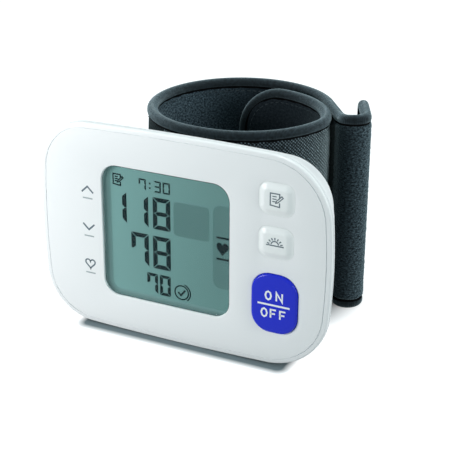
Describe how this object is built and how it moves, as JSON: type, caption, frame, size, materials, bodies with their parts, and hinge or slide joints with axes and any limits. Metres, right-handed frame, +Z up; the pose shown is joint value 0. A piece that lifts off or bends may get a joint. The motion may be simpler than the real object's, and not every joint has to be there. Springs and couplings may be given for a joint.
{
  "type": "wrist blood pressure monitor",
  "caption": "Slim white housing with a display and push buttons on a curled charcoal cloth cuff; a small pump inflates the cuff round the wrist to measure blood pressure.",
  "frame": {"origin": "centre of the footprint, on the surface that the monitor stands on", "axes": "+Z up, +X to the right along the face, the face looks along -Y"},
  "size_m": [0.091, 0.0722, 0.0634],
  "materials": {
    "housing_white": "satin",
    "rear_white": "fine texture",
    "window_clear": "clear, polished",
    "lcd_glass": "polished",
    "lcd_reflector": "matte",
    "holder_dark": "matte",
    "connector_rubber": "matte",
    "button_blue": "satin",
    "black_plastic": "matte",
    "steel": "plated",
    "board_green": "solder mask",
    "capacitor_can": "sleeved can",
    "milky_plastic": "matte",
    "cell_jacket": "printed jacket",
    "spring_steel": "nickel plated",
    "silicone_tube": "matte",
    "saddle_grey": "matte",
    "cuff_cloth": "brushed loop cloth",
    "cuff_lining": "soft knit",
    "curler_sheet": "clear sheet",
    "bladder_rubber": "matte",
    "binding_tape": "woven tape",
    "hook_tape": "hook tape"
  },
  "bodies": {
    "unit": {"front_cover": "housing_white", "rear_cover": "rear_white", "display_window": "window_clear", "lcd_front_glass": "lcd_glass", "lcd_rear_glass": "lcd_glass", "lcd_reflector": "lcd_reflector", "lcd_holder": "holder_dark", "lcd_connector_strip": "connector_rubber", "processor_chip": "black_plastic", "memory_chip": "black_plastic", "position_sensor": "black_plastic", "buzzer": "black_plastic", "pump_head": "black_plastic", "start_stop_switch": "steel", "memory_switch": "steel", "morning_switch": "steel", "clock_crystal": "steel", "pump_motor": "steel", "exhaust_valve": "steel", "housing_screw_1": "steel", "housing_screw_2": "steel", "housing_screw_3": "steel", "housing_screw_4": "steel", "main_board": "board_green", "power_capacitor": "capacitor_can", "pressure_sensor": "milky_plastic", "air_manifold": "milky_plastic", "cuff_nipple": "milky_plastic", "battery_cell_outer": "cell_jacket", "battery_cell_inner": "cell_jacket", "battery_contact_outer": "spring_steel", "battery_contact_inner": "spring_steel", "battery_spring_outer": "spring_steel", "battery_spring_inner": "spring_steel", "pump_tube": "silicone_tube", "sensor_tube": "silicone_tube", "valve_tube": "silicone_tube", "cuff_saddle": "saddle_grey", "cuff_outer_cloth": "cuff_cloth", "cuff_inner_cloth": "cuff_lining", "cuff_curler": "curler_sheet", "cuff_bladder": "bladder_rubber", "cuff_binding": "binding_tape"},
    "start_stop_key": {"start_stop_button": "button_blue", "start_stop_plunger": "black_plastic"},
    "memory_key": {"memory_button": "housing_white", "memory_plunger": "black_plastic"},
    "morning_key": {"morning_button": "housing_white", "morning_plunger": "black_plastic"},
    "battery_door": {"battery_cover": "rear_white"},
    "pump_rotor": {"pump_crank": "steel"},
    "valve_armature": {"valve_plunger": "steel"},
    "cuff_strap": {"strap_outer_cloth": "cuff_cloth", "strap_lining": "cuff_lining", "strap_binding": "binding_tape", "strap_hook_patch": "hook_tape"}
  },
  "joints": [
    {"name": "start_stop_press", "type": "slide", "parent": "unit", "child": "start_stop_key", "axis": [0, 1, 0], "range_m": [0, 0.0005], "stiffness_N_per_m": 400},
    {"name": "memory_press", "type": "slide", "parent": "unit", "child": "memory_key", "axis": [0, 1, 0], "range_m": [0, 0.0005], "stiffness_N_per_m": 400},
    {"name": "morning_press", "type": "slide", "parent": "unit", "child": "morning_key", "axis": [0, 1, 0], "range_m": [0, 0.0005], "stiffness_N_per_m": 400},
    {"name": "battery_door_slide", "type": "slide", "parent": "unit", "child": "battery_door", "axis": [-1, 0, 0], "range_m": [0, 0.014]},
    {"name": "pump_spin", "type": "hinge", "parent": "unit", "child": "pump_rotor", "pos_m": [0, -0.02625, 0.0095], "axis": [1, 0, 0], "continuous": true},
    {"name": "valve_stroke", "type": "slide", "parent": "unit", "child": "valve_armature", "axis": [1, 0, 0], "range_m": [0, 0.0006], "stiffness_N_per_m": 150},
    {"name": "cuff_opening", "type": "hinge", "parent": "unit", "child": "cuff_strap", "pos_m": [-0.0296, 0.00723, 0.03], "axis": [0, 0, 1], "range_deg": [0, 70]}
  ]
}
